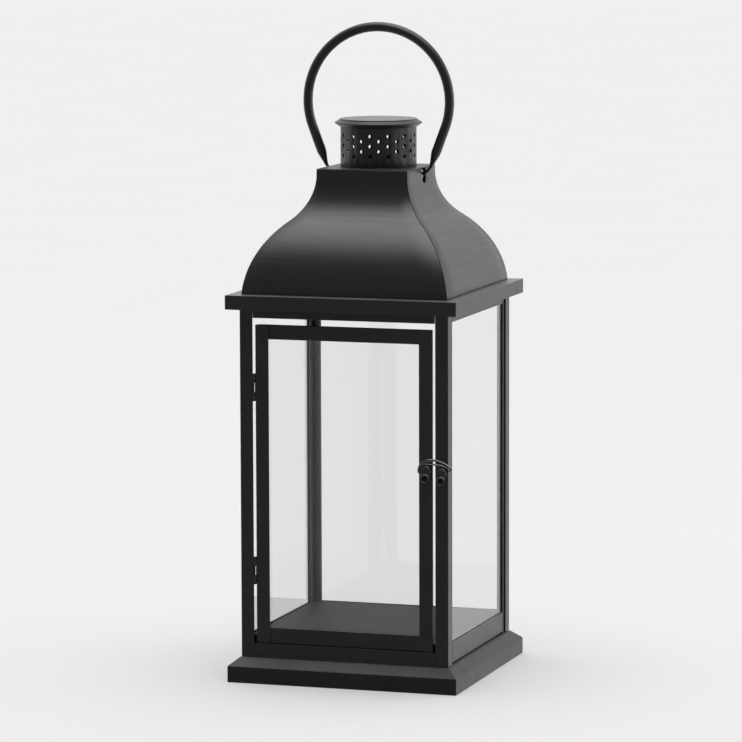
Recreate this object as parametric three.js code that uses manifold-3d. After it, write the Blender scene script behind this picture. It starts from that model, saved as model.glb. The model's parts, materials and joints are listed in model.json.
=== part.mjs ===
// Candle lantern: a square sheet-steel lantern with a hinged glass door, an ogee roof,
// a pierced chimney and a swinging bail handle.
// Millimetres, +Z up. The origin is the centre of the base's underside. The door faces -Y.

import * as THREE from 'three';
import { ConvexGeometry } from 'three/addons/geometries/ConvexGeometry.js';
import { mergeVertices } from 'three/addons/utils/BufferGeometryUtils.js';
import Module from 'manifold-3d';

const wasm = await Module();
wasm.setup();

// ---------------------------------------------------------------- driving dimensions

const sheet = 1.2; // thickness of the folded steel sheet
const gap = 0.3; // clearance between pieces that touch

const base = { half: 125, edgeHeight: 17, chamfer: 11, height: 26, lip: 12 };
const cap = { half: 125, bottom: 392, height: 15, openingHalf: 97, lip: 11.6 };

const frame = { half: 113, leg: 14 }; // corner posts: angle section, legs outwards
const sideSetback = 1.5; // side and rear rails lie this far behind the post faces
const bottomRail = { bottom: 28.3, top: 49, ledge: 10 }; // under the three fixed panes
const topRail = { bottom: 383, ledge: 10 };
const sill = { top: 41, ledge: 6 }; // the front rail under the door
const channel = { end: 105.2, sideLip: 93, rearLip: 99, depth: 5.9 }; // glazing channels
const glass = { thickness: 2.9, top: 395 };

const door = { half: 96, bottom: 42, top: 376, stile: 14.5, rail: 15, depth: 7.4, lip: 6, edge: 3.4 };
const hinge = { x: -97.5, y: -113.4, heights: [118, 310.5], height: 29, barrel: 9.7 };
const knuckle = { radius: 1.3, bore: 0.8, pin: 0.6, leaf: 0.9 };

const latch = { wire: 1, y: -114.35 }; // the wire link's radius and the plane it lies in
const doorPeg = { x: 90, z: 231.3 };
const postPeg = { x: 107, z: 229.3 };
const peg = { neck: 4.8, root: 5.4, rootY: -116.3, tip: 4.75, tipY: -121.6, drop: 8.2, tilt: 20 };
const rivet = { shank: 1.5, head: 2.8 }; // each peg's fixing behind the sheet

const roof = { bottomHalf: 111.5, topHalf: 49.5, height: 125.2, throat: 61.5, belly: 106 };
const roofSlot = { width: 14, depth: 16 }; // the handle hooks into one of these on each side
const setBack = 8.5; // the chimney and the handle stand this far behind the roof's centre
const chimney = { radius: 40, wall: 1, top: 576 };
const vent = { radius: 2.1, row: 10.6, columns: 26, first: -1.5, raised: 1.5 }; // first is in degrees
const lid = { disc: 41, rim: 46, rimHeight: 3.5, height: 7.7 };

const bail = { radius: 78, centre: 602, bar: 5, splay: 20.8, axis: 527, leg: 27, taper: 16 };
const hook = { bar: 1.6, inset: 46.7, width: 8.4, thickness: 2.4, below: 7 }; // the bail's flattened tips

// ---------------------------------------------------------------- levels worked out from them

const capTop = cap.bottom + cap.height;
const underCap = capTop - sheet - gap; // posts and rails reach up to here, inside the cap
const roofBottom = capTop + gap;
const roofTop = roofBottom + roof.height;
const plateTop = roofTop + gap + sheet;
const floorTop = bottomRail.top - gap; // the floor lies level with the rails' upper edges
const railFace = frame.half - sideSetback;

// ---------------------------------------------------------------- geometry helpers

function signedVolume(position, index) {
  const [a, b, c] = [new THREE.Vector3(), new THREE.Vector3(), new THREE.Vector3()];
  let six = 0;
  for (let i = 0; i < index.length; i += 3) {
    a.fromBufferAttribute(position, index[i]);
    b.fromBufferAttribute(position, index[i + 1]);
    c.fromBufferAttribute(position, index[i + 2]);
    six += a.dot(b.cross(c));
  }
  return six / 6;
}

// A closed three.js geometry as a solid that can be joined and cut.
function solidOf(geometry) {
  const bare = geometry.clone();
  bare.deleteAttribute('normal');
  bare.deleteAttribute('uv');
  const merged = mergeVertices(bare, 1e-4);
  const index = [];
  const all = merged.index.array;
  for (let i = 0; i < all.length; i += 3) {
    const [a, b, c] = [all[i], all[i + 1], all[i + 2]];
    if (a !== b && b !== c && c !== a) index.push(a, b, c);
  }
  if (signedVolume(merged.attributes.position, index) < 0) index.reverse();
  return new wasm.Manifold(new wasm.Mesh({
    numProp: 3,
    vertProperties: new Float32Array(merged.attributes.position.array),
    triVerts: new Uint32Array(index),
  }));
}

function geometryOf(solid) {
  const mesh = solid.getMesh();
  const geometry = new THREE.BufferGeometry();
  geometry.setAttribute('position', new THREE.BufferAttribute(mesh.vertProperties, 3));
  geometry.setIndex(new THREE.BufferAttribute(mesh.triVerts, 1));
  return geometry;
}

function join(...geometries) {
  return geometryOf(geometries.map(solidOf).reduce((all, next) => all.add(next)));
}

function cut(geometry, ...tools) {
  return geometryOf(tools.map(solidOf).reduce((left, tool) => left.subtract(tool), solidOf(geometry)));
}

function common(a, b) {
  return geometryOf(solidOf(a).intersect(solidOf(b)));
}

// The same piece on the -X side; going through a solid turns its faces the right way out.
function mirrored(geometry) {
  return geometryOf(solidOf(geometry.clone().scale(-1, 1, 1)));
}

function block([x0, x1], [y0, y1], [z0, z1]) {
  const box = new THREE.BoxGeometry(x1 - x0, y1 - y0, z1 - z0);
  return box.translate((x0 + x1) / 2, (y0 + y1) / 2, (z0 + z1) / 2);
}

function outline(points) {
  return new THREE.Shape(points.map(([x, y]) => new THREE.Vector2(x, y)));
}

// A plan outline raised from z0 to z1.
function raise(points, z0, z1) {
  const options = { depth: z1 - z0, bevelEnabled: false };
  return new THREE.ExtrudeGeometry(outline(points), options).translate(0, 0, z0);
}

function turned(points, segments = 48) {
  const profile = points.map(([r, z]) => new THREE.Vector2(r, z));
  return new THREE.LatheGeometry(profile, segments).rotateX(Math.PI / 2);
}

// A four-sided lathe: each profile point is a half-width and a height.
function squareTurned(points) {
  const corner = Math.SQRT2;
  const profile = points.map(([half, z]) => new THREE.Vector2(half * corner, z));
  return new THREE.LatheGeometry(profile, 4, Math.PI / 4).rotateX(Math.PI / 2);
}

function rodAlongX(radius, x0, x1, y, z, sides = 12) {
  const rod = new THREE.CylinderGeometry(radius, radius, x1 - x0, sides).rotateZ(Math.PI / 2);
  return rod.translate((x0 + x1) / 2, y, z);
}

function rodAlongY(radius, y0, y1, x, z, sides = 16) {
  return new THREE.CylinderGeometry(radius, radius, y1 - y0, sides).translate(x, (y0 + y1) / 2, z);
}

function rodAlongZ(radius, z0, z1, x, y, sides = 12) {
  const rod = new THREE.CylinderGeometry(radius, radius, z1 - z0, sides).rotateX(Math.PI / 2);
  return rod.translate(x, y, (z0 + z1) / 2);
}

// A round bar swept along a curve.
function bar(curve, radius, sides, steps) {
  const section = new THREE.Shape();
  section.absarc(0, 0, radius, 0, 2 * Math.PI);
  const ring = section.getSpacedPoints(sides).slice(0, sides);
  const shape = new THREE.Shape(ring);
  return new THREE.ExtrudeGeometry(shape, { steps, extrudePath: curve, bevelEnabled: false });
}

function quarterTurns(geometry, turns) {
  return geometry.clone().rotateZ(turns * Math.PI / 2);
}

// ---------------------------------------------------------------- the scene and its materials

const lantern = new THREE.Group();
lantern.name = 'candle_lantern';

function addPart(name, geometry, material) {
  const mesh = new THREE.Mesh(geometry, material);
  mesh.name = name;
  lantern.add(mesh);
}

function finish(color, roughness, metalness, more = {}) {
  return new THREE.MeshStandardMaterial({ color, roughness, metalness, ...more });
}

const satinBlack = () => finish(0x1f1e1d, 0.48, 0.35);
const brushedGrey = () => finish(0x3a3837, 0.4, 0.6);
const darkSteel = () => finish(0x151515, 0.3, 0.9);
const clearGlass = () => finish(0xe4eaea, 0.03, 0, { transparent: true, opacity: 0.2 });

// ---------------------------------------------------------------- base and floor

function basePlinth() {
  const { half, edgeHeight, chamfer, height, lip } = base;
  const outside = squareTurned([
    [0, 0], [half, 0], [half, edgeHeight], [half - chamfer, height], [0, height],
  ]);
  const wall = half - sheet;
  const bend = sheet / 2; // the inside of the fold sits this much lower
  const underTop = height - sheet;
  const hollow = squareTurned([
    [0, sheet], [wall, sheet], [wall, edgeHeight - bend], [wall - chamfer + bend, underTop], [0, underTop],
  ]);
  const mouth = half - lip;
  return cut(outside, hollow, block([-mouth, mouth], [-mouth, mouth], [-1, sheet + 0.1]));
}

// The floor is a tray turned upside down. Its four edges stand on the rails' ledges.
function floorPlate() {
  const half = railFace - channel.depth - gap;
  const inside = half - sheet;
  const feet = bottomRail.bottom + sheet + gap;
  return cut(
    block([-half, half], [-half, half], [feet, floorTop]),
    block([-inside, inside], [-inside, inside], [feet - 1, floorTop - sheet]),
  );
}

// ---------------------------------------------------------------- posts and rails

function cornerPost() {
  const { half, leg } = frame;
  const edge = half - leg;
  const inner = half - sheet;
  const angle = [[half, half], [edge, half], [edge, inner], [inner, inner], [inner, edge], [half, edge]];
  return raise(angle, base.height + gap, underCap);
}

// An angle rail on the +X side: a web that faces outwards and a ledge that points inwards.
function angleRail(face, halfLength, bottom, top, ledge, ledgeAtTop) {
  const back = face - sheet;
  const shelfBottom = ledgeAtTop ? top - sheet : bottom;
  return join(
    block([back, face], [-halfLength, halfLength], [bottom, top]),
    block([back - ledge, back + 0.1], [-halfLength, halfLength], [shelfBottom, shelfBottom + sheet]),
  );
}

// A glazing channel: a pane's upright edge sits between its two lips. s runs along the pane.
function glazingChannel(lipStart, side) {
  const { end, depth } = channel;
  const inner = railFace - depth;
  const s = (value) => side * value;
  const section = [
    [railFace, s(lipStart)], [railFace, s(end)], [inner, s(end)], [inner, s(lipStart)],
    [inner + sheet, s(lipStart)], [inner + sheet, s(end - sheet)],
    [railFace - sheet, s(end - sheet)], [railFace - sheet, s(lipStart)],
  ];
  return raise(section, base.height + gap, underCap);
}

function fixedPane() {
  const outer = railFace - sheet - gap;
  const half = channel.end - sheet - gap - 0.1;
  const bottom = bottomRail.bottom + sheet + gap;
  return block([outer - glass.thickness, outer], [-half, half], [bottom, glass.top]);
}

// ---------------------------------------------------------------- cap, roof and chimney

function capPlate() {
  const { half, bottom, openingHalf, lip } = cap;
  const wall = half - sheet;
  const mouth = half - lip;
  return cut(
    block([-half, half], [-half, half], [bottom, capTop]),
    block([-wall, wall], [-wall, wall], [bottom + sheet, capTop - sheet]),
    block([-mouth, mouth], [-mouth, mouth], [bottom - 1, bottom + sheet + 0.1]),
    block([-openingHalf, openingHalf], [-openingHalf, openingHalf], [capTop - sheet - 0.1, capTop + 1]),
  );
}

// The ogee: a belly arc that leaves the eaves and a throat arc that meets it, upright at the top.
// The belly's centre is where a circle round the eaves point meets a circle round the throat's centre.
function ogeeProfile(inset) {
  const neck = 4; // the roof's last few millimetres stand upright
  const throatCentre = new THREE.Vector2(roof.topHalf + roof.throat, roofTop - neck);
  const eaves = new THREE.Vector2(roof.bottomHalf, roofBottom);
  const span = eaves.distanceTo(throatCentre);
  const reach = roof.throat + roof.belly;
  const along = (roof.belly ** 2 - reach ** 2 + span ** 2) / (2 * span);
  const across = Math.sqrt(roof.belly ** 2 - along ** 2);
  const axis = throatCentre.clone().sub(eaves).normalize();
  const bellyCentre = eaves.clone().addScaledVector(axis, along);
  bellyCentre.x += -across * axis.y;
  bellyCentre.y += across * axis.x;
  const meet = throatCentre.clone().sub(bellyCentre).angle();
  const start = eaves.clone().sub(bellyCentre).angle();
  const profile = new THREE.Path();
  const belly = roof.belly - inset;
  const throat = roof.throat + inset;
  profile.absarc(bellyCentre.x, bellyCentre.y, belly, start > Math.PI ? start - 2 * Math.PI : start, meet);
  profile.absarc(throatCentre.x, throatCentre.y, throat, meet + Math.PI, Math.PI, true);
  profile.lineTo(roof.topHalf - inset, roofTop);
  return profile.getPoints(14).map((point) => [point.x, point.y]);
}

function roofShell() {
  const outside = ogeeProfile(0);
  const inside = ogeeProfile(sheet).reverse();
  outside[0][1] = roofBottom;
  inside[inside.length - 1][1] = roofBottom;
  return squareTurned([...outside, ...inside, outside[0]]);
}

// The quarter of the roof on the +X side, a hair short of the hips.
function roofQuarter(shell) {
  const far = roof.bottomHalf + 20;
  const wedge = raise([[gap, 0], [far, far - gap], [far, gap - far]], roofBottom - 1, roofTop + 1);
  return common(shell, wedge);
}

// The notch in the top of a side panel. side is 1 for the +X panel and -1 for the -X one.
function slotTool(side) {
  const { width, depth } = roofSlot;
  const radius = width / 2;
  const low = roofTop - depth + radius;
  const reach = 12; // well through the panel
  const [x0, x1] = side > 0 ? [hook.inset, hook.inset + reach] : [-hook.inset - reach, -hook.inset];
  return join(
    rodAlongX(radius, x0, x1, setBack, low, 24),
    block([x0, x1], [setBack - radius, setBack + radius], [low, roofTop + 1]),
  );
}

function roofTopPlate() {
  const half = roof.topHalf;
  const hole = rodAlongZ(chimney.radius - 3, roofTop - 5, plateTop + 5, 0, setBack, 36);
  return cut(block([-half, half], [-half, half], [roofTop + gap, plateTop]), hole);
}

// Columns of three holes and of two holes take turns round the tube.
function chimneyTube() {
  const { radius, wall, top } = chimney;
  const bottom = plateTop + gap;
  const inside = radius - wall;
  const tube = turned([[radius, bottom], [radius, top], [inside, top], [inside, bottom], [radius, bottom]]);
  const middle = (bottom + top) / 2 + vent.raised;
  const drills = [];
  for (let column = 0; column < vent.columns; column += 1) {
    const rows = column % 2 === 0 ? [-1, 0, 1] : [-0.5, 0.5];
    const angle = THREE.MathUtils.degToRad(vent.first + column * 360 / vent.columns);
    for (const row of rows) {
      const drill = rodAlongX(vent.radius, radius - 5, radius + 5, 0, middle + row * vent.row, 10);
      drills.push(drill.rotateZ(angle));
    }
  }
  return cut(tube, ...drills).translate(0, setBack, 0);
}

function chimneyLid() {
  const bottom = chimney.top + gap;
  const top = bottom + lid.height;
  const plug = chimney.radius - chimney.wall - gap;
  return turned([
    [0, top - sheet], [plug, top - sheet], [plug, bottom], [chimney.radius + 1, bottom],
    [lid.rim - 0.5, bottom + lid.rimHeight - 0.9], [lid.rim, bottom + lid.rimHeight],
    [lid.disc + 0.8, top - 0.9], [lid.disc, top], [0, top],
  ]).translate(0, setBack, 0);
}

// ---------------------------------------------------------------- door

// A door stile on the +X side: an angle with a broad face and a narrow outer edge.
function doorStile() {
  const face = -frame.half;
  const back = face + door.edge;
  const outer = door.half;
  const section = [
    [outer, face], [outer, back], [outer - sheet, back], [outer - sheet, face + sheet],
    [outer - door.stile, face + sheet], [outer - door.stile, face],
  ];
  return raise(section, door.bottom, door.top);
}

// A door rail behind the stiles: a channel whose back lip holds the pane's edge.
function doorRail(bottom, top, ledgeAtTop) {
  const face = -frame.half + sheet + gap;
  const half = door.half - sheet - gap;
  const back = -frame.half + door.depth;
  const ledge = ledgeAtTop ? [top - sheet, top] : [bottom, bottom + sheet];
  const lip = ledgeAtTop ? [top - door.lip, top] : [bottom, bottom + door.lip];
  return join(
    block([-half, half], [face, face + sheet], [bottom, top]),
    block([-half, half], [face + sheet / 2, back - sheet / 2], ledge),
    block([-half, half], [back - sheet, back], lip),
  );
}

function doorPane() {
  const front = -frame.half + 2 * (sheet + gap);
  const half = door.half - sheet - gap - 0.1;
  const inset = sheet + gap + 0.1;
  return block([-half, half], [front, front + glass.thickness], [door.bottom + inset, door.top - inset]);
}

// ---------------------------------------------------------------- hinges

// The two knuckles of one leaf. side is -1 for the leaf on the post and +1 for the one on the door.
function knuckleSpans(z, side) {
  const end = hinge.height / 2;
  const half = (hinge.barrel - gap) / 2;
  const inner = end - hinge.barrel;
  return side < 0
    ? [[z + end - half, z + end], [z - end, z - end + half]]
    : [[z + inner, z + inner + half], [z - inner - half, z - inner]];
}

function hingeLeaf(z, side) {
  const web = hinge.x + side * (knuckle.radius - 0.05 - knuckle.leaf / 2);
  const webX = [web - knuckle.leaf / 2, web + knuckle.leaf / 2];
  const behindPost = -frame.half + sheet + gap;
  const webBack = side < 0 ? behindPost + knuckle.leaf : -frame.half + door.edge;
  const plateZ = [z - hinge.height / 2, z + hinge.height / 2];
  const plate = side < 0
    ? block([-frame.half + 3, webX[1]], [behindPost, webBack], plateZ)
    : block(webX, [behindPost, webBack], plateZ);
  const pieces = [plate];
  const bores = [];
  for (const [low, high] of knuckleSpans(z, side)) {
    pieces.push(block(webX, [hinge.y, behindPost + 0.5], [low, high]));
    pieces.push(rodAlongZ(knuckle.radius, low, high, hinge.x, hinge.y, 16));
    bores.push(rodAlongZ(knuckle.bore, low - 1, high + 1, hinge.x, hinge.y, 16));
  }
  return cut(join(...pieces), ...bores);
}

function hingePin(z, end) {
  const inner = hinge.height / 2 - hinge.barrel;
  const outer = hinge.height / 2;
  const [low, high] = end > 0 ? [z + inner, z + outer] : [z - outer, z - inner];
  return rodAlongZ(knuckle.pin, low, high, hinge.x, hinge.y, 12);
}

// ---------------------------------------------------------------- latch

function pegHole({ x, z }) {
  return rodAlongY(rivet.shank + 0.4, -frame.half - 1, -frame.half + sheet + 1, x, z);
}

// The rim of a disc that faces -Y, its face tilted down by some degrees.
function discRim(radius, x, y, z, tilt) {
  const count = 24;
  const rim = new THREE.CircleGeometry(radius, count).attributes.position;
  const turn = new THREE.Euler(Math.PI / 2 + THREE.MathUtils.degToRad(tilt), 0, 0);
  const centre = new THREE.Vector3(x, y, z);
  const points = [];
  for (let i = 1; i <= count; i += 1) {
    points.push(new THREE.Vector3().fromBufferAttribute(rim, i).applyEuler(turn).add(centre));
  }
  return points;
}

// A drooping peg: a neck for the latch link, a tapered body that leans out and down to a
// round end face, and a riveted shank behind the sheet.
function latchPeg({ x, z }) {
  const face = -frame.half;
  const back = face + sheet + gap;
  const low = z - peg.drop;
  const body = new ConvexGeometry([
    ...discRim(peg.root - 0.5, x, peg.rootY, z, 0),
    ...discRim(peg.root, x, peg.rootY - 0.7, z - 0.7, 0),
    ...discRim(peg.tip, x, peg.tipY + 0.7, low + 0.2, peg.tilt),
    ...discRim(peg.tip - 0.7, x, peg.tipY, low, peg.tilt),
  ]);
  return join(
    body,
    rodAlongY(peg.neck, peg.rootY - 1, face - gap, x, z),
    rodAlongY(rivet.shank, face - gap - 1, back + 0.5, x, z),
    rodAlongY(rivet.head, back, back + knuckle.leaf, x, z),
  );
}

// The latch link is one wire bent into a long loop that arches over both pegs. It starts in
// a curl round the door's peg, and its other end lies back along the upper strand.
// All points are (x, z) from the door's peg.
function latchLink() {
  const strand = (points) => {
    const path = points.map(([x, z]) => new THREE.Vector3(doorPeg.x + x, latch.y, doorPeg.z + z));
    return bar(new THREE.CatmullRomCurve3(path, false, 'centripetal'), latch.wire, 8, 4 * points.length);
  };
  const lower = strand([
    [4, -6.2], [0.6, -7.2], [-3.6, -6.4], [-6.6, -3.6], [-7.5, 0], [-5.8, 4.2], [-1, 6.3],
    [3.6, 6.2], [9.2, 6.4], [16.7, 5.4], [21.3, 3.5], [24.4, 1], [26.1, 1.1],
  ]);
  const upper = strand([
    [26.1, 0.7], [26.9, 2.2], [25.3, 3.9], [22.9, 5.6], [18.9, 8], [14.4, 9.8], [9.4, 10.9],
    [3.9, 11.3], [-0.7, 10.5], [-4.6, 8.1], [-7.2, 4.7], [-8.5, 0.9], [-8.4, -2.2],
  ]);
  const end = strand([[-8.1, 1], [-6.2, 4.4], [-3, 6.9], [1.2, 9], [6.8, 10.3], [10.4, 10.6]]);
  return join(lower, upper, end);
}

// ---------------------------------------------------------------- handle

// The bail's centreline from the right leg, over the top, to the left leg.
class BailCurve extends THREE.Curve {
  constructor(legLength) {
    super();
    this.splay = THREE.MathUtils.degToRad(bail.splay);
    this.legLength = legLength;
    this.arcLength = bail.radius * (Math.PI + 2 * this.splay);
  }

  getPoint(t, target = new THREE.Vector3()) {
    const along = t * (this.arcLength + 2 * this.legLength) - this.legLength;
    const clamped = Math.min(Math.max(along, 0), this.arcLength);
    const angle = clamped / bail.radius - this.splay;
    const beyond = along - clamped;
    const x = bail.radius * Math.cos(angle) - beyond * Math.sin(angle);
    const z = bail.centre + bail.radius * Math.sin(angle) + beyond * Math.cos(angle);
    return target.set(x, 0, z);
  }
}

// A rod that narrows from one point to another in the XZ plane.
function taper(from, to, fromRadius, toRadius) {
  const axis = to.clone().sub(from);
  const cone = new THREE.CylinderGeometry(toRadius, fromRadius, axis.length(), 12);
  const upright = new THREE.Vector3(0, 1, 0);
  const turn = new THREE.Quaternion().setFromUnitVectors(upright, axis.clone().normalize());
  const middle = from.clone().add(to).multiplyScalar(0.5);
  return cone.applyQuaternion(turn).translate(middle.x, middle.y, middle.z);
}

// The thin end of the bar goes in through the roof's slot along the swing axis. Its tip is
// flattened into a round-ended tongue that hangs inside, so the bail can't pull out.
function handleHook(foot) {
  const { axis } = bail;
  const bend = [
    [foot.x + 0.4, foot.z + 1], [foot.x - 3.4, foot.z - 4], [foot.x - 7.4, axis + 0.4], [hook.inset, axis],
  ];
  const path = bend.map(([x, z]) => new THREE.Vector3(x, 0, z));
  const neck = bar(new THREE.CatmullRomCurve3(path), hook.bar, 12, 16);
  const radius = hook.width / 2;
  const tip = new THREE.Shape();
  tip.absarc(0, 0, radius, 0, Math.PI);
  tip.lineTo(-radius, -hook.below + radius);
  tip.absarc(0, -hook.below + radius, radius, Math.PI, 2 * Math.PI);
  const options = { depth: hook.thickness, bevelEnabled: false, curveSegments: 12 };
  const tongue = new THREE.ExtrudeGeometry(tip, options).rotateX(Math.PI / 2).rotateZ(Math.PI / 2);
  tongue.translate(hook.inset - hook.thickness / 2, 0, axis);
  return join(neck, tongue);
}

function handle() {
  const curve = new BailCurve(bail.leg);
  const splay = THREE.MathUtils.degToRad(bail.splay);
  const down = new THREE.Vector3(-Math.sin(splay), 0, -Math.cos(splay));
  const shoulder = curve.getPoint(0);
  const start = shoulder.clone().addScaledVector(down, -0.5);
  const foot = shoulder.clone().addScaledVector(down, bail.taper);
  const leg = join(taper(start, foot, bail.bar - 0.05, hook.bar + 0.2), handleHook(foot));
  return join(bar(curve, bail.bar, 14, 60), leg, quarterTurns(leg, 2)).translate(0, setBack, 0);
}

// ---------------------------------------------------------------- assembly

addPart('base_plinth', basePlinth(), satinBlack());
addPart('floor_plate', floorPlate(), satinBlack());

const post = cornerPost();
const drilledPost = cut(quarterTurns(post, -1), pegHole(postPeg));
addPart('post_front_right', drilledPost, satinBlack());
addPart('post_rear_right', post, satinBlack());
addPart('post_rear_left', quarterTurns(post, 1), satinBlack());
addPart('post_front_left', quarterTurns(post, 2), satinBlack());

const sides = [['right', 0, channel.sideLip], ['rear', 1, channel.rearLip], ['left', 2, channel.sideLip]];
for (const [side, turns, lipStart] of sides) {
  const halfLength = lipStart - gap;
  const low = angleRail(railFace, halfLength, bottomRail.bottom, bottomRail.top, bottomRail.ledge, false);
  const high = angleRail(railFace, halfLength, topRail.bottom, underCap, topRail.ledge, true);
  addPart(`bottom_rail_${side}`, quarterTurns(low, turns), satinBlack());
  addPart(`top_rail_${side}`, quarterTurns(high, turns), satinBlack());
  addPart(`glass_${side}`, quarterTurns(fixedPane(), turns), clearGlass());
}

const frontHalf = frame.half - frame.leg - gap;
const doorSill = angleRail(frame.half, frontHalf, base.height + gap, sill.top, sill.ledge, false);
const doorHead = angleRail(frame.half, frontHalf, topRail.bottom, underCap, sill.ledge, true);
addPart('bottom_rail_front', quarterTurns(doorSill, -1), satinBlack());
addPart('top_rail_front', quarterTurns(doorHead, -1), satinBlack());

const channels = [
  ['right_front', 0, -1], ['right_rear', 0, 1], ['rear_right', 1, -1],
  ['rear_left', 1, 1], ['left_rear', 2, -1], ['left_front', 2, 1],
];
for (const [place, turns, side] of channels) {
  const lipStart = turns === 1 ? channel.rearLip : channel.sideLip;
  addPart(`glazing_channel_${place}`, quarterTurns(glazingChannel(lipStart, side), turns), satinBlack());
}

addPart('cap_plate', capPlate(), satinBlack());

const quarter = roofQuarter(roofShell());
addPart('roof_panel_right', cut(quarter, slotTool(1)), satinBlack());
addPart('roof_panel_rear', quarterTurns(quarter, 1), satinBlack());
addPart('roof_panel_left', cut(quarterTurns(quarter, 2), slotTool(-1)), satinBlack());
addPart('roof_panel_front', quarterTurns(quarter, -1), satinBlack());
addPart('roof_top_plate', roofTopPlate(), brushedGrey());
addPart('chimney_tube', chimneyTube(), satinBlack());
addPart('chimney_lid', chimneyLid(), satinBlack());

const stile = doorStile();
addPart('door_stile_right', cut(stile, pegHole(doorPeg)), satinBlack());
addPart('door_stile_left', mirrored(stile), satinBlack());
addPart('door_rail_top', doorRail(door.top - door.rail, door.top, true), satinBlack());
addPart('door_rail_bottom', doorRail(door.bottom, door.bottom + door.rail + 1, false), satinBlack());
addPart('door_glass', doorPane(), clearGlass());

for (const [level, z] of [['lower', hinge.heights[0]], ['upper', hinge.heights[1]]]) {
  addPart(`hinge_${level}_post_leaf`, hingeLeaf(z, -1), satinBlack());
  addPart(`hinge_${level}_door_leaf`, hingeLeaf(z, 1), satinBlack());
  addPart(`hinge_${level}_pin_low`, hingePin(z, -1), darkSteel());
  addPart(`hinge_${level}_pin_high`, hingePin(z, 1), darkSteel());
}

addPart('door_peg', latchPeg(doorPeg), satinBlack());
addPart('post_peg', latchPeg(postPeg), satinBlack());
addPart('latch_link', latchLink(), darkSteel());
addPart('handle', handle(), satinBlack());

export default lantern;
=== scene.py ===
"""Candle lantern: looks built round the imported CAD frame, in metres, +Z up, door facing -Y."""

import json
import math

import bmesh
import bpy
from mathutils import Matrix, Vector


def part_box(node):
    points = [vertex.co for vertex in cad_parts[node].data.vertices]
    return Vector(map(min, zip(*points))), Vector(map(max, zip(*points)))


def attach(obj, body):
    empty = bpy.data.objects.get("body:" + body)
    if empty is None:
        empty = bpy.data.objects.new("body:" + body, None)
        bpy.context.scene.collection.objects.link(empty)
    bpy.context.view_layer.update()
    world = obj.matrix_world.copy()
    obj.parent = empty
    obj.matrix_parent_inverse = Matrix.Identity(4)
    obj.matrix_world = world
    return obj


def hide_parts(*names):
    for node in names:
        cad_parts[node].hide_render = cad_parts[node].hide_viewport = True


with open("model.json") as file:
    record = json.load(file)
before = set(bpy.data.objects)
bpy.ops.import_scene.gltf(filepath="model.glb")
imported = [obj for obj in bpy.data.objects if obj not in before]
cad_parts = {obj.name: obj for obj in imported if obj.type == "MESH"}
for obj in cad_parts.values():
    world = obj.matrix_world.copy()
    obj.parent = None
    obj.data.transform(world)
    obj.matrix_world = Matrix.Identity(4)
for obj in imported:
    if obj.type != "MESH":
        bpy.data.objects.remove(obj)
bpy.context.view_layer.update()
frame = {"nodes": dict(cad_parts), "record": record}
MM = 0.001

# Shape constants of the real pieces; positions come from the frame's boxes.
SHEET = 1.2 * MM  # thickness of the folded steel

# Roof: the seams at the hips, the two arcs of its profile, the slots for the handle.
HIP_GAP = 0.35 * MM
BELLY_RADIUS = 106 * MM
BELLY_STEPS = 40
THROAT_RADIUS = 61.5 * MM
THROAT_STEPS = 28
ROOF_NECK = 4 * MM
ROOF_COLUMNS = 9  # points across each panel
SLOT_WIDTH = 14 * MM
SLOT_DEPTH = 16 * MM

# Chimney: columns of three and of two vents in turn, and the lid's overhang and lip.
CHIMNEY_WALL = 1.0 * MM
VENT_RADIUS = 2.1 * MM
VENT_ROW = 10.6 * MM
VENT_COLUMNS = 26
VENT_FIRST = math.radians(-1.5)
VENT_RAISED = 1.5 * MM
DRILL_REACH = 4 * MM
LID_DISC_INSET = 5 * MM
LID_RIM_HEIGHT = 3.5 * MM
LID_SEAT = 0.5 * MM  # how far the lid's skirt reaches down over the chimney's edge

# Handle: a bar bent into a ring with splayed legs, each drawn down to a hook with a flat tongue.
BAIL_RADIUS = 5 * MM
BAIL_SPLAY = math.radians(20.8)
BAIL_STEPS = 180
BAIL_LEG = 27 * MM
BAIL_TAPER = 16 * MM
TAPER_STEPS = 8
HOOK_RADIUS = 1.6 * MM
HOOK_INSET = 46.7 * MM
TONGUE_RADIUS = 4.2 * MM
TONGUE_DROP = 7 * MM
TONGUE_HALF = 1.2 * MM

# Latch: radii of the pegs, of the rivets behind them and of the wire.
PEG_ROOT = 5.4 * MM
PEG_TIP = 4.75 * MM
PEG_SIDES = 48
RIVET_SHANK = 1.5 * MM
RIVET_HEAD = 2.8 * MM
RIVET_FLATTENED = 0.28
WIRE = 1.0 * MM

# Widths of the rolled edges on the CAD nodes; EDGE lists those that differ from the other sheets.
SHEET_EDGE = 0.55 * MM
GLASS_EDGE = 0.4 * MM
EDGE = {
    "base_plinth": 0.7 * MM,
    "cap_plate": 0.6 * MM,
    "roof_top_plate": 0.3 * MM,
    "floor_plate": 0.3 * MM,
}

# Studio: the floor, the camera and how bright the surround is.
FLOOR_HALF = 60
FLOOR_GLOW = 0.196
CAMERA_AZIMUTH = math.radians(17.83)
CAMERA_ELEVATION = math.radians(7.07)
CAMERA_ROLL = math.radians(-0.163)
CAMERA_TARGET = Vector((0, 0, 0.3176))
CAMERA_DISTANCE = 4.659
CAMERA_LENS = 214.2
CAMERA_SENSOR = 36
CAMERA_SHIFT = -0.0077
DOOR_SIDE_LIGHT = 0.14
FAR_SIDE_LIGHT = 0.86
OVERHEAD_LIGHT = 2.8


def pivot(joint):
    rows = frame["record"]["behaviour"]["joints"]
    return Vector(next(row for row in rows if row["name"] == joint)["pos_m"])


SET_BACK = pivot("handle_swing").y  # the chimney and handle stand this far behind the centre


# ---------------------------------------------------------------- mesh helpers

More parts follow.
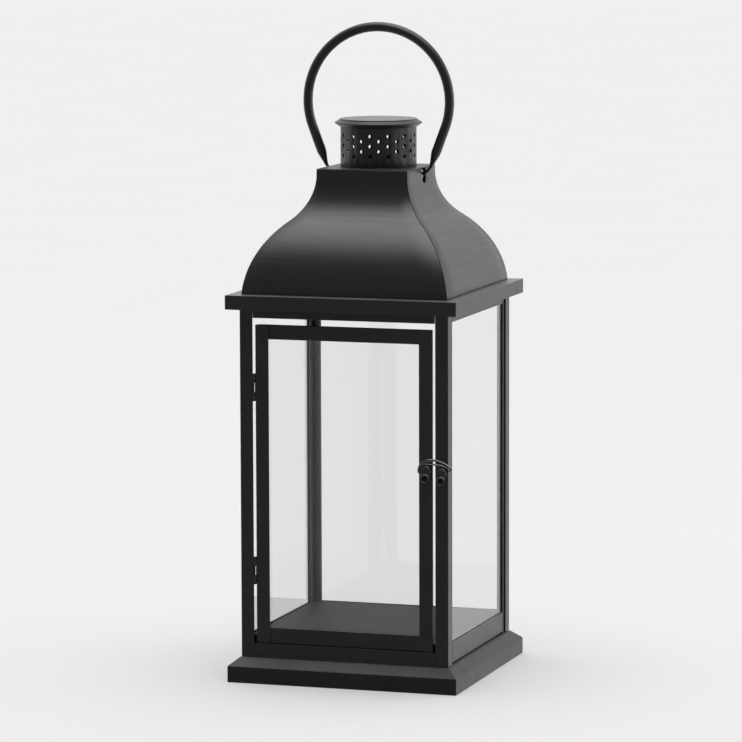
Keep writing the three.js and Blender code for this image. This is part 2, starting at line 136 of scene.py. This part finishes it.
def mesh_object(name, verts, faces, smooth=True):
    mesh = bpy.data.meshes.new(name)
    mesh.from_pydata([tuple(v) for v in verts], [], faces)
    mesh.update()
    work = bmesh.new()
    work.from_mesh(mesh)
    bmesh.ops.recalc_face_normals(work, faces=work.faces)
    work.to_mesh(mesh)
    work.free()
    for polygon in mesh.polygons:
        polygon.use_smooth = smooth
    obj = bpy.data.objects.new(name, mesh)
    bpy.context.scene.collection.objects.link(obj)
    return obj


def modifier(obj, kind, **settings):
    mod = obj.modifiers.new(kind.lower(), kind)
    for key, value in settings.items():
        setattr(mod, key, value)
    return mod


def bevel(obj, width, degrees, segments=2):
    """Rounds every edge sharper than this angle."""
    modifier(obj, "BEVEL", width=width, segments=segments,
             limit_method="ANGLE", angle_limit=math.radians(degrees))


def baked(obj):
    """The object with its modifiers made part of its mesh."""
    graph = bpy.context.evaluated_depsgraph_get()
    mesh = bpy.data.meshes.new_from_object(obj.evaluated_get(graph))
    obj.modifiers.clear()
    old = obj.data
    obj.data = mesh
    bpy.data.meshes.remove(old)
    return obj


def joined(name, pieces):
    """One object made of several meshes laid together."""
    work = bmesh.new()
    for piece in pieces:
        piece.data.transform(piece.matrix_world)
        work.from_mesh(piece.data)
        bpy.data.objects.remove(piece)
    mesh = bpy.data.meshes.new(name)
    work.to_mesh(mesh)
    work.free()
    obj = bpy.data.objects.new(name, mesh)
    bpy.context.scene.collection.objects.link(obj)
    return obj


def cut_out(obj, cutter):
    modifier(obj, "BOOLEAN", operation="DIFFERENCE", object=cutter, solver="EXACT")
    baked(obj)
    bpy.data.objects.remove(cutter)
    return obj


def crease_shading(obj, degrees=35):
    """Smooth shading that breaks at edges sharper than this."""
    mesh = obj.data
    for polygon in mesh.polygons:
        polygon.use_smooth = True
    work = bmesh.new()
    work.from_mesh(mesh)
    limit = math.radians(degrees)
    for edge in work.edges:
        edge.smooth = len(edge.link_faces) == 2 and edge.calc_face_angle(math.pi) < limit
    work.to_mesh(mesh)
    work.free()
    return obj


def turned(name, profile, segments=96):
    """A closed solid of revolution about Z; profile is (radius, z), from axis to axis or closed."""
    verts = []
    faces = []
    count = len(profile)
    for step in range(segments):
        angle = 2 * math.pi * step / segments
        for radius, z in profile:
            verts.append((radius * math.cos(angle), radius * math.sin(angle), z))
    for step in range(segments):
        for k in range(count):
            a = step * count + k
            b = step * count + (k + 1) % count
            c = ((step + 1) % segments) * count + (k + 1) % count
            d = ((step + 1) % segments) * count + k
            faces.append((a, b, c, d))
    obj = mesh_object(name, verts, faces)
    work = bmesh.new()
    work.from_mesh(obj.data)
    bmesh.ops.remove_doubles(work, verts=work.verts, dist=1e-7)
    bmesh.ops.recalc_face_normals(work, faces=work.faces)
    work.to_mesh(obj.data)
    work.free()
    return obj


def ring_faces(rings, sides):
    """Faces that join each ring of vertices to the next, with the first and last rings closed."""
    faces = []
    for r in range(rings - 1):
        for k in range(sides):
            a = r * sides + k
            b = r * sides + (k + 1) % sides
            faces.append((a, b, b + sides, a + sides))
    faces.append(tuple(range(sides)))
    faces.append(tuple(range((rings - 1) * sides, rings * sides)))
    return faces


def arc(centre, radius, start, end, steps):
    """Points along an arc, both ends included."""
    angles = [start + (end - start) * step / steps for step in range(steps + 1)]
    return [(centre[0] + radius * math.cos(a), centre[1] + radius * math.sin(a)) for a in angles]


def catmull(points, per_span=8):
    """A smooth line through the points."""
    line = []
    ends = [2 * points[0] - points[1], *points, 2 * points[-1] - points[-2]]
    for p0, p1, p2, p3 in zip(ends, ends[1:], ends[2:], ends[3:]):
        for step in range(per_span):
            t = step / per_span
            line.append(0.5 * (
                2 * p1 + (p2 - p0) * t
                + (2 * p0 - 5 * p1 + 4 * p2 - p3) * t ** 2
                + (3 * p1 - p0 - 3 * p2 + p3) * t ** 3
            ))
    line.append(points[-1])
    return line


def tube(name, line, radii, sides=24, normal=Vector((0, 1, 0))):
    """A round bar along a line that stays in the plane of this normal, with domed ends."""
    last = len(line) - 1
    tangents = [
        (line[min(i + 1, last)] - line[max(i - 1, 0)]).normalized()
        for i in range(last + 1)
    ]
    domes = []
    for end, sign in ((0, -1), (last, 1)):
        dome = []
        for step in range(1, 5):
            lift = math.pi / 2 * step / 5
            centre = line[end] + sign * tangents[end] * radii[end] * math.sin(lift)
            dome.append((centre, tangents[end], radii[end] * math.cos(lift)))
        domes.append(dome)
    rings = domes[0][::-1] + list(zip(line, tangents, radii)) + domes[1]
    verts = []
    for centre, tangent, radius in rings:
        side = tangent.cross(normal).normalized()
        for k in range(sides):
            angle = 2 * math.pi * k / sides
            verts.append(centre + radius * (math.cos(angle) * side + math.sin(angle) * normal))
    return mesh_object(name, verts, ring_faces(len(rings), sides))


# ---------------------------------------------------------------- materials

class Nodes:
    """A short way to write a node material."""

    def __init__(self, name):
        self.material = bpy.data.materials.new(name)
        self.material.use_nodes = True
        self.tree = self.material.node_tree
        self.shader = self.tree.nodes["Principled BSDF"]

    def add(self, kind, **inputs):
        node = self.tree.nodes.new(kind)
        for key, value in inputs.items():
            if key in node.bl_rna.properties:
                setattr(node, key, value)
            else:
                node.inputs[key.replace("_", " ")].default_value = value
        return node

    def link(self, source, target):
        self.tree.links.new(source, target)

    def place(self):
        """Object-space coordinates in metres, so detail keeps its real size."""
        return self.add("ShaderNodeTexCoord").outputs["Object"]

    def noise(self, scale, detail=3.0, roughness=0.55, stretch=None):
        node = self.add("ShaderNodeTexNoise", Scale=scale, Detail=detail, Roughness=roughness)
        source = self.place()
        if stretch:
            mapping = self.add("ShaderNodeMapping", Scale=stretch)
            self.link(source, mapping.inputs["Vector"])
            source = mapping.outputs["Vector"]
        self.link(source, node.inputs["Vector"])
        return node.outputs["Fac"]

    def ramp(self, source, stops):
        node = self.add("ShaderNodeValToRGB")
        while len(node.color_ramp.elements) < len(stops):
            node.color_ramp.elements.new(0.5)
        for element, (position, colour) in zip(node.color_ramp.elements, stops):
            element.position = position
            element.color = (*colour, 1) if len(colour) == 3 else colour
        self.link(source, node.inputs["Fac"])
        return node.outputs["Color"]

    def mixed(self, blend, first, second, factor):
        node = self.add("ShaderNodeMix", data_type="RGBA", blend_type=blend)
        if isinstance(factor, float):
            node.inputs["Factor"].default_value = factor
        else:
            self.link(factor, node.inputs["Factor"])
        self.link(first, node.inputs[6])
        self.link(second, node.inputs[7])
        return node.outputs[2]

    def spread(self, source, low, high, from_low=0.3, from_high=0.7):
        node = self.add("ShaderNodeMapRange", From_Min=from_low, From_Max=from_high,
                        To_Min=low, To_Max=high)
        self.link(source, node.inputs["Value"])
        return node.outputs["Result"]

    def bump(self, *layers):
        """Bump layers, each (height source, strength, depth in metres), one on top of the other."""
        normal = None
        for source, strength, depth in layers:
            node = self.add("ShaderNodeBump", Strength=strength, Distance=depth)
            self.link(source, node.inputs["Height"])
            if normal:
                self.link(normal, node.inputs["Normal"])
            normal = node.outputs["Normal"]
        self.link(normal, self.shader.inputs["Normal"])

    def set(self, **inputs):
        for key, value in inputs.items():
            self.shader.inputs[key.replace("_", " ")].default_value = value


def powder_coat(name, tone=0.011, rough=0.36, grain=1.0, streaks=0.0, dust=0.35, top_dust_and_light=0.8,
                ior=1.7):
    """Satin black powder coat: faint orange peel, cloudy sheen, specks of dust, a warm lighter tone
    on upward faces that is partly dust and partly painted top light, and where it was rubbed, fine
    level streaks."""
    m = Nodes(name)
    colour = m.ramp(m.noise(14, 4), [
        (0.30, (tone * 0.82, tone * 0.80, tone * 0.78)),
        (0.72, (tone * 1.25, tone * 1.22, tone * 1.18)),
    ])
    specks = m.ramp(m.noise(900, 2, 0.7), [(0.70, (0, 0, 0)), (0.82, (0.05, 0.048, 0.045))])
    speckled = m.mixed("ADD", colour, specks, dust)
    # Painted top light: faces whose normal points up (Z from 0.88) get a lighter warm tone, partly
    # dust and partly standing in for light falling on the tops.
    facing = m.add("ShaderNodeSeparateXYZ")
    m.link(m.add("ShaderNodeNewGeometry").outputs["Normal"], facing.inputs["Vector"])
    level = m.spread(facing.outputs["Z"], 0.0, top_dust_and_light, 0.88, 1.0)
    dust_and_top_light_film = m.ramp(m.noise(24, 5, 0.65), [
        (0.30, (0.118, 0.107, 0.103)),
        (0.72, (0.190, 0.173, 0.167)),
    ])
    m.link(m.mixed("MIX", speckled, dust_and_top_light_film, level), m.shader.inputs["Base Color"])
    if streaks:
        rubbed = m.noise(12, 6, 0.7, stretch=(1.0, 1.0, 30.0))
        m.link(m.spread(rubbed, rough - 0.05, rough + 0.06), m.shader.inputs["Roughness"])
        m.bump((rubbed, streaks, 0.0003), (m.noise(1100, 2), 0.10 * grain, 0.00012))
    else:
        m.link(m.spread(m.noise(60, 5), rough - 0.02, rough + 0.03), m.shader.inputs["Roughness"])
        m.bump((m.noise(1100, 2), 0.10 * grain, 0.00012), (m.noise(190, 3), 0.08 * grain, 0.0003))
    m.set(IOR=ior, Specular_Tint=(1.0, 0.965, 0.97, 1))
    return m.material


def roof_plate_metal():
    """The dark satin plate under the chimney, with long faint rubbing marks."""
    m = Nodes("roof_plate_satin")
    streak = m.noise(60, 5, 0.6, stretch=(0.5, 9.0, 1.0))
    tones = [(0.35, (0.018, 0.017, 0.016)), (0.7, (0.075, 0.071, 0.066))]
    m.link(m.ramp(streak, tones), m.shader.inputs["Base Color"])
    m.link(m.spread(streak, 0.28, 0.5), m.shader.inputs["Roughness"])
    m.bump((streak, 0.15, 0.0002))
    m.set(IOR=1.5)
    return m.material


def gloss_black():
    """Black-plated steel wire with a hard shine."""
    m = Nodes("gloss_black_wire")
    tones = [(0.3, (0.20, 0.198, 0.195)), (0.8, (0.34, 0.336, 0.33))]
    m.link(m.ramp(m.noise(400, 3), tones), m.shader.inputs["Base Color"])
    m.link(m.spread(m.noise(900, 3), 0.10, 0.20), m.shader.inputs["Roughness"])
    m.bump((m.noise(1500, 2), 0.1, 0.0001))
    m.set(Metallic=1.0)
    return m.material


def bare_steel():
    """Steel rubbed bright, with fine scratches."""
    m = Nodes("rubbed_steel")
    scratch = m.noise(700, 4, 0.6, stretch=(1.0, 6.0, 1.0))
    tones = [(0.3, (0.42, 0.41, 0.40)), (0.7, (0.62, 0.61, 0.59))]
    m.link(m.ramp(scratch, tones), m.shader.inputs["Base Color"])
    m.link(m.spread(scratch, 0.25, 0.42), m.shader.inputs["Roughness"])
    m.bump((scratch, 0.2, 0.0001))
    m.set(Metallic=1.0)
    return m.material


def hollow_painted_shade():
    """Painted shade for the inside of a peg's hollow end: dull and almost black."""
    m = Nodes("hollow_painted_shade")
    tones = [(0.3, (0.002, 0.002, 0.002)), (0.7, (0.005, 0.005, 0.005))]
    m.link(m.ramp(m.noise(500, 3), tones), m.shader.inputs["Base Color"])
    m.link(m.spread(m.noise(900, 2), 0.8, 0.95), m.shader.inputs["Roughness"])
    m.set(Specular_IOR_Level=0.15)
    return m.material


def clear_glass():
    """Clear float glass, faintly uneven, with a trace of haze."""
    m = Nodes("clear_pane_glass")
    m.link(m.spread(m.noise(9, 4, 0.6), 0.0, 0.02), m.shader.inputs["Roughness"])
    tones = [(0.2, (0.938, 0.942, 0.942)), (0.8, (0.946, 0.950, 0.950))]
    m.link(m.ramp(m.noise(5, 2), tones), m.shader.inputs["Base Color"])
    m.bump((m.noise(7, 2), 0.02, 0.0005))
    m.set(IOR=1.5, Transmission_Weight=1.0)
    return m.material


def pale_floor():
    """A matt pale sheet that glows a little, as a lit table does."""
    m = Nodes("studio_floor")
    tones = [(0.3, (0.597, 0.592, 0.590)), (0.7, (0.603, 0.598, 0.596))]
    m.link(m.ramp(m.noise(3, 4), tones), m.shader.inputs["Base Color"])
    m.set(Roughness=0.9, Specular_IOR_Level=0.0)
    m.set(Emission_Color=(1, 1, 1, 1), Emission_Strength=FLOOR_GLOW)
    return m.material


COAT = powder_coat("satin_black_coat")
ROOF_COAT = powder_coat("roof_black_coat", tone=0.010, rough=0.31, streaks=0.07)
FLOOR_COAT = powder_coat("chamber_floor_coat", tone=0.010, rough=0.6, dust=0.1, top_dust_and_light=0.0,
                         ior=1.33)
BASE_COAT = powder_coat("base_black_coat", rough=0.40, ior=1.52)
PEG_COAT = powder_coat("peg_black_coat", tone=0.007, rough=0.30, grain=0.6, dust=0.1)
HANDLE_COAT = powder_coat("handle_black_coat", tone=0.009, rough=0.34, grain=0.7)
PLATE = roof_plate_metal()
GLOSS = gloss_black()
BARE = bare_steel()
HOLLOW_SHADE = hollow_painted_shade()
GLASS = clear_glass()


def paint(obj, material):
    """Gives the whole object this material; a CAD node keeps its own mesh and its own slots."""
    if obj.data.materials:
        for index in range(len(obj.data.materials)):
            obj.material_slots[index].link = "OBJECT"
            obj.material_slots[index].material = material
    else:
        obj.data.materials.append(material)


def soften(obj, width):
    """Rolled edges on a CAD node."""
    modifier(obj, "WELD", merge_threshold=1e-6)
    bevel(obj, width, 28)


# ---------------------------------------------------------------- roof

def ogee(inset):
    """The roof's profile as (half-width, height): belly arc, throat arc, short upright neck."""
    low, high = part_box("roof_panel_front")
    top_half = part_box("roof_top_plate")[1].x
    throat_centre = Vector((top_half + THROAT_RADIUS, high.z - ROOF_NECK))
    eaves = Vector((-low.y, low.z))
    reach = THROAT_RADIUS + BELLY_RADIUS
    span = (throat_centre - eaves).length
    along = (BELLY_RADIUS ** 2 - reach ** 2 + span ** 2) / (2 * span)
    across = math.sqrt(BELLY_RADIUS ** 2 - along ** 2)
    axis = (throat_centre - eaves).normalized()
    belly_centre = eaves + along * axis + across * Vector((-axis.y, axis.x))
    meet = math.atan2(throat_centre.y - belly_centre.y, throat_centre.x - belly_centre.x)
    start = math.atan2(eaves.y - belly_centre.y, eaves.x - belly_centre.x)
    profile = arc(belly_centre, BELLY_RADIUS - inset, start, meet, BELLY_STEPS)
    profile += arc(throat_centre, THROAT_RADIUS + inset, meet + math.pi, math.pi, THROAT_STEPS)[1:]
    profile.append((top_half - inset, high.z))
    profile[0] = (profile[0][0], low.z)
    return profile


def roof_panel(name, turns):
    """One folded roof panel; its long edges run up the hips."""
    outer = ogee(0)
    inner = ogee(SHEET)
    columns = ROOF_COLUMNS
    verts = []
    for half, z in outer + inner:
        edge = half - HIP_GAP
        for c in range(columns):
            verts.append((edge * (2 * c / (columns - 1) - 1), -half, z))
    rows = len(outer)
    layer_size = rows * columns
    faces = []
    for r in range(rows - 1):
        for c in range(columns - 1):
            a = r * columns + c
            faces.append((a, a + 1, a + columns + 1, a + columns))
            b = a + layer_size
            faces.append((b, b + columns, b + columns + 1, b + 1))
    for r in range(rows - 1):
        for c in (0, columns - 1):
            a = r * columns + c
            faces.append((a, a + columns, a + columns + layer_size, a + layer_size))
    for c in range(columns - 1):
        for r in (0, rows - 1):
            a = r * columns + c
            faces.append((a, a + 1, a + 1 + layer_size, a + layer_size))
    obj = mesh_object(name, verts, faces)
    if turns % 2:
        cut_out(obj, slot_cutter(SET_BACK if turns == 1 else -SET_BACK))
    bevel(obj, 0.35 * MM, 40)
    baked(obj)
    crease_shading(obj, 30)
    obj.data.transform(Matrix.Rotation(turns * math.pi / 2, 4, "Z"))
    return obj


def slot_cutter(middle):
    """A round-bottomed notch at the top of the panel that faces -Y, with this x for its middle."""
    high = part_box("roof_panel_front")[1]
    radius = SLOT_WIDTH / 2
    outline = arc((middle, high.z - SLOT_DEPTH + radius), radius, math.pi, 2 * math.pi, 24)
    above = high.z + 5 * MM
    outline += [(middle + radius, above), (middle - radius, above)]
    front = -high.z  # well outside the panel
    behind = high.y + 4 * MM
    verts = [(x, y, z) for y in (front, behind) for x, z in outline]
    return mesh_object("slot_cutter", verts, ring_faces(2, len(outline)), smooth=False)


# ---------------------------------------------------------------- chimney

def chimney_tube():
    """A plain tube with round vents drilled through its wall."""
    low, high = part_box("chimney_tube")
    radius = high.x
    bore = radius - CHIMNEY_WALL
    profile = [(radius, low.z), (radius, high.z), (bore, high.z), (bore, low.z)]
    pierced = turned("chimney_tube_pierced", profile, 144)
    middle = (low.z + high.z) / 2 + VENT_RAISED
    drills = []
    for column in range(VENT_COLUMNS):
        rows = (-1, 0, 1) if column % 2 == 0 else (-0.5, 0.5)
        angle = VENT_FIRST + 2 * math.pi * column / VENT_COLUMNS
        for row in rows:
            height = middle + row * VENT_ROW
            line = [Vector((radius + reach * DRILL_REACH, 0, height)) for reach in (-1, 0, 1)]
            drill = tube("drill", line, [VENT_RADIUS] * 3, 20)
            drill.data.transform(Matrix.Rotation(angle, 4, "Z"))
            drills.append(drill)
    cut_out(pierced, joined("drills", drills))
    bevel(pierced, 0.3 * MM, 50)
    baked(pierced)
    crease_shading(pierced, 40)
    pierced.data.transform(Matrix.Translation((0, SET_BACK, 0)))
    return pierced


def chimney_lid():
    """A dished lid: upright skirt under a sloped rim, a shallow step, a flat disc."""
    low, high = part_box("chimney_lid")
    rim = high.x
    disc = rim - LID_DISC_INSET
    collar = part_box("chimney_tube")[1].x
    rim_z = low.z + LID_RIM_HEIGHT
    seat = low.z - LID_SEAT
    top = high.z
    skirt = [
        (0, top - SHEET), (collar - 1.4 * MM, top - SHEET),
        (collar - 1.4 * MM, seat), (collar + 1.0 * MM, seat),
    ]
    lip = [
        (rim - 0.8 * MM, rim_z - 1.1 * MM), (rim - 0.15 * MM, rim_z - 0.5 * MM),
        (rim, rim_z), (rim - 0.25 * MM, rim_z + 0.45 * MM),
    ]
    step = [
        (disc + 0.7 * MM, top - 1.3 * MM), (disc + 0.1 * MM, top - 1.25 * MM),
        (disc - 0.15 * MM, top - 0.35 * MM), (disc - 0.5 * MM, top), (0, top),
    ]
    lid = crease_shading(turned("chimney_lid_pressed", skirt + lip + step, 128), 25)
    lid.data.transform(Matrix.Translation((0, SET_BACK, 0)))
    return lid


# ---------------------------------------------------------------- handle

def bail_handle():
    """A round bar bent into a splayed bail, each end drawn down to a thin hook."""
    axis = pivot("handle_swing")
    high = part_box("handle")[1]
    ring = high.x - BAIL_RADIUS
    centre = (0, high.z - BAIL_RADIUS - ring)
    bow = [
        Vector((x, axis.y, z))
        for x, z in arc(centre, ring, math.pi + BAIL_SPLAY, -BAIL_SPLAY, BAIL_STEPS)
    ]
    down = Vector((-math.sin(BAIL_SPLAY), 0, -math.cos(BAIL_SPLAY)))
    shoulder = bow[-1] + BAIL_LEG * down
    foot = shoulder + BAIL_TAPER * down
    neck = HOOK_RADIUS + 0.2 * MM
    leg = [bow[-1] + BAIL_LEG / 2 * down, shoulder]
    radii = [BAIL_RADIUS, BAIL_RADIUS]
    for step in range(1, TAPER_STEPS + 1):
        t = step / TAPER_STEPS
        eased = (t + 3 * t ** 2 - 2 * t ** 3) / 2
        leg.append(shoulder.lerp(foot, t))
        radii.append(BAIL_RADIUS + (neck - BAIL_RADIUS) * eased)
    hook = [
        Vector((foot.x - 3.4 * MM, axis.y, foot.z - 4 * MM)),
        Vector((foot.x - 7.4 * MM, axis.y, axis.z + 0.4 * MM)),
        Vector((HOOK_INSET, axis.y, axis.z)),
    ]
    bend = catmull([foot, *hook])[1:]
    leg += bend
    radii += [HOOK_RADIUS] * len(bend)
    other = [Vector((-p.x, p.y, p.z)) for p in leg]
    line = other[::-1] + bow + leg
    widths = radii[::-1] + [BAIL_RADIUS] * len(bow) + radii
    return tube("bail_handle", line, widths, 32)


def tongue(x):
    """The bar's flattened, round-ended tip, bare where the coat has worn off in the slot."""
    axis = pivot("handle_swing")
    low = axis.z - TONGUE_DROP + TONGUE_RADIUS
    outline = arc((axis.y, axis.z), TONGUE_RADIUS, 0, math.pi, 32)
    outline += arc((axis.y, low), TONGUE_RADIUS, math.pi, 2 * math.pi, 32)
    verts = [(x + side * TONGUE_HALF, y, z) for side in (-1, 1) for y, z in outline]
    obj = mesh_object("tongue", verts, ring_faces(2, len(outline)))
    bevel(obj, 0.5 * MM, 50, segments=3)
    baked(obj)
    return crease_shading(obj, 60)


# ---------------------------------------------------------------- latch

def peg(node, name):
    """A drooping peg: neck, tapered body, a soft rim round its hollow end, riveted shank."""
    low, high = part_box(node)
    x = (low.x + high.x) / 2
    z = high.z - PEG_ROOT + 0.5 * MM
    neck_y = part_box("post_front_right")[0].y - 0.3 * MM
    root_y = neck_y - 3.0 * MM
    tip = Vector((x, root_y - 5.3 * MM, z - 8.2 * MM))
    sections = [
        (Vector((x, neck_y, z)), 4.6 * MM, 0),
        (Vector((x, neck_y - 0.2 * MM, z)), 4.8 * MM, 0),
        (Vector((x, root_y + 0.4 * MM, z)), 4.8 * MM, 0),
        (Vector((x, root_y, z)), 5.05 * MM, 0),
        (Vector((x, root_y - 0.7 * MM, z - 0.7 * MM)), PEG_ROOT, 4),
        (Vector((x, root_y - 2.2 * MM, z - 3.0 * MM)), 5.25 * MM, 9),
        (tip + Vector((0, 1.6 * MM, 2.0 * MM)), 4.95 * MM, 16),
        (tip + Vector((0, 0.7 * MM, 0.4 * MM)), PEG_TIP, 20),
        (tip + Vector((0, 0.25 * MM, 0.1 * MM)), PEG_TIP - 0.12 * MM, 20),
        (tip, PEG_TIP - 0.6 * MM, 20),
        (tip + Vector((0, 0.15 * MM, 0.06 * MM)), PEG_TIP - 1.3 * MM, 20),
        (tip + Vector((0, 0.5 * MM, 0.3 * MM)), PEG_TIP - 1.9 * MM, 20),
        (tip + Vector((0, 1.0 * MM, 1.0 * MM)), PEG_TIP - 2.2 * MM, 20),
        (tip + Vector((0, 2.0 * MM, 2.6 * MM)), PEG_TIP - 2.7 * MM, 20),
    ]
    painted_shade_from = len(sections) - 3
    verts = []
    for centre, radius, tilt in sections:
        lean = math.radians(tilt)
        for k in range(PEG_SIDES):
            angle = 2 * math.pi * k / PEG_SIDES
            across = radius * math.cos(angle)
            up = radius * math.sin(angle)
            verts.append(centre + Vector((across, up * math.sin(lean), up * math.cos(lean))))
    cast = crease_shading(mesh_object("cast", verts, ring_faces(len(sections), PEG_SIDES)), 60)
    # The hollow end's faces take the almost black second material: painted shade in the recess.
    for polygon in cast.data.polygons:
        if min(polygon.vertices) >= painted_shade_from * PEG_SIDES:
            polygon.material_index = 1
    return joined(name, [cast, *rivet(x, neck_y, z, high.y)])


def rivet(x, front, z, back):
    """The shank behind a peg, from its neck through the sheet, and its flattened head."""
    def bar(name, stations, radius, sides):
        line = [Vector((x, front + y * MM, z)) for y in stations]
        return tube(name, line, [radius] * len(line), sides, normal=Vector((1, 0, 0)))

    shank = bar("shank", (0, 1, 2.4), RIVET_SHANK, 20)
    head = bar("head", (1.8, 2.0), RIVET_HEAD, 28)
    end = front + 2.0 * MM + RIVET_HEAD
    head.data.transform(
        Matrix.Translation((0, back, 0))
        @ Matrix.Scale(RIVET_FLATTENED, 4, (0, 1, 0))
        @ Matrix.Translation((0, -end, 0))
    )
    return shank, head


def latch_wire():
    """The wire link: a curl round the door's peg, two arched strands and an end laid back."""
    start = pivot("latch_pivot")

    def strand(name, points):
        line = catmull([start + Vector((x * MM, 0, z * MM)) for x, z in points], 7)
        return tube(name, line, [WIRE] * len(line), 16)

    lower = [
        (0.6, -7.2), (-3.6, -6.4), (-6.6, -3.6), (-7.5, 0), (-5.8, 4.2), (-1, 6.3),
        (3.6, 6.2), (9.2, 6.4), (16.7, 5.4), (21.3, 3.5), (24.4, 1), (26.1, 1.1),
    ]
    upper = [
        (26.1, 0.7), (26.9, 2.2), (25.3, 3.9), (22.9, 5.6), (18.9, 8), (14.4, 9.8), (9.4, 10.9),
        (3.9, 11.3), (-0.7, 10.5), (-4.6, 8.1), (-7.2, 4.7), (-8.5, 0.9), (-8.4, -2.2),
    ]
    laid = [(-8.1, 1), (-6.2, 4.4), (-3, 6.9), (1.2, 9), (6.8, 10.3), (10.4, 10.6)]
    strands = [strand("lower", lower), strand("upper", upper), strand("laid", laid)]
    return joined("latch_wire", strands)


# ---------------------------------------------------------------- the lantern

def place(obj, body, nodes, material, slot):
    """Paints a piece, sets which body it rides on and hides the nodes it replaces; slot is not
    used.
    """
    paint(obj, material)
    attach(obj, body)
    if nodes:
        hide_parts(*nodes)


for side, turns in (("front", 0), ("right", 1), ("rear", 2), ("left", 3)):
    sheet = roof_panel(f"roof_sheet_{side}", turns)
    place(sheet, "lantern", [f"roof_panel_{side}"], ROOF_COAT, "satin_black_coat")
place(chimney_tube(), "lantern", ["chimney_tube"], COAT, "satin_black_coat")
place(chimney_lid(), "lantern", ["chimney_lid"], COAT, "satin_black_coat")
place(bail_handle(), "handle", ["handle"], HANDLE_COAT, "satin_black_coat")
for side, x in (("right", HOOK_INSET), ("left", -HOOK_INSET)):
    tip = tongue(x)
    tip.name = f"bail_tongue_{side}"
    place(tip, "handle", [], BARE, "roof_plate_grey")
for node, body in (("door_peg", "door"), ("post_peg", "lantern")):
    cast = peg(node, f"{node}_cast")
    place(cast, body, [node], PEG_COAT, "satin_black_coat")
    # Second slot: painted shade for the peg's hollow end.
    cast.data.materials.append(HOLLOW_SHADE)
place(latch_wire(), "latch", ["latch_link"], GLOSS, "glossy_black_wire")

REPLACED = {
    "chimney_tube", "chimney_lid", "handle", "door_peg", "post_peg", "latch_link",
    *(f"roof_panel_{side}" for side in ("front", "right", "rear", "left")),
}
OWN_MATERIAL = {"roof_top_plate": PLATE, "floor_plate": FLOOR_COAT, "base_plinth": BASE_COAT}
for node, obj in frame["nodes"].items():
    if node in REPLACED:
        continue
    if "glass" in node:
        paint(obj, GLASS)
        soften(obj, GLASS_EDGE)
        obj.visible_shadow = False
        obj.visible_diffuse = False
    elif "_pin_" in node:
        paint(obj, GLOSS)
    else:
        paint(obj, OWN_MATERIAL.get(node, COAT))
        soften(obj, EDGE.get(node, SHEET_EDGE))


# ---------------------------------------------------------------- studio

def floor():
    """The pale sheet that the lantern stands on; polished pieces do not mirror it."""
    signs = [(-1, -1), (1, -1), (1, 1), (-1, 1)]
    corners = [(x * FLOOR_HALF, y * FLOOR_HALF, 0) for x, y in signs]
    obj = mesh_object("studio_floor", corners, [(0, 1, 2, 3)], smooth=False)
    obj.visible_glossy = False
    paint(obj, pale_floor())


def studio_world():
    """A pale surround with a bright overhead, falling off to dark on the door's side."""
    world = bpy.data.worlds.new("studio")
    bpy.context.scene.world = world
    world.use_nodes = True
    tree = world.node_tree
    nodes = tree.nodes

    def ramp(source, low, high, at_low, at_high):
        node = nodes.new("ShaderNodeMapRange")
        node.interpolation_type = "SMOOTHSTEP"
        node.inputs["From Min"].default_value = low
        node.inputs["From Max"].default_value = high
        node.inputs["To Min"].default_value = at_low
        node.inputs["To Max"].default_value = at_high
        tree.links.new(source, node.inputs["Value"])
        return node.outputs["Result"]

    place = nodes.new("ShaderNodeTexCoord")
    split = nodes.new("ShaderNodeSeparateXYZ")
    tree.links.new(place.outputs["Generated"], split.inputs["Vector"])
    depth = ramp(split.outputs["Y"], -0.70, 0.25, DOOR_SIDE_LIGHT, FAR_SIDE_LIGHT)
    height = ramp(split.outputs["Z"], 0.68, 1.0, 0.0, OVERHEAD_LIGHT)
    both = nodes.new("ShaderNodeMath")
    both.operation = "MAXIMUM"
    tree.links.new(depth, both.inputs[0])
    tree.links.new(height, both.inputs[1])
    background = nodes["Background"]
    background.inputs["Color"].default_value = (1.0, 1.0, 1.0, 1)
    tree.links.new(both.outputs["Value"], background.inputs["Strength"])


def softbox(name, location, target, size, power):
    """A large soft lamp, itself out of the camera's sight."""
    light = bpy.data.lights.new(name, "AREA")
    light.shape = "RECTANGLE"
    light.size, light.size_y = size
    light.energy = power
    light.color = (1, 0.99, 0.97)
    obj = bpy.data.objects.new(name, light)
    obj.location = location
    obj.rotation_euler = (Vector(target) - Vector(location)).to_track_quat("-Z", "Y").to_euler()
    obj.visible_camera = False
    bpy.context.scene.collection.objects.link(obj)


def camera():
    """A long lens a little above the lantern's middle, to the right of the door."""
    level = math.cos(CAMERA_ELEVATION)
    away = Vector((
        math.sin(CAMERA_AZIMUTH) * level,
        -math.cos(CAMERA_AZIMUTH) * level,
        math.sin(CAMERA_ELEVATION),
    ))
    data = bpy.data.cameras.new("studio_camera")
    data.lens = CAMERA_LENS
    data.sensor_width = CAMERA_SENSOR
    data.shift_x = CAMERA_SHIFT
    data.clip_end = 5 * FLOOR_HALF
    obj = bpy.data.objects.new("studio_camera", data)
    obj.location = CAMERA_TARGET + CAMERA_DISTANCE * away
    aim = (-away).to_track_quat("-Z", "Y").to_matrix()
    obj.rotation_euler = (aim @ Matrix.Rotation(CAMERA_ROLL, 3, "Z")).to_euler()
    bpy.context.scene.collection.objects.link(obj)
    bpy.context.scene.camera = obj


floor()
studio_world()
softbox("side", (2.6, 1.6, 1.2), (0, 0, 0.35), (1.6, 1.6), 6)
camera()
bpy.context.scene.view_settings.view_transform = "Standard"
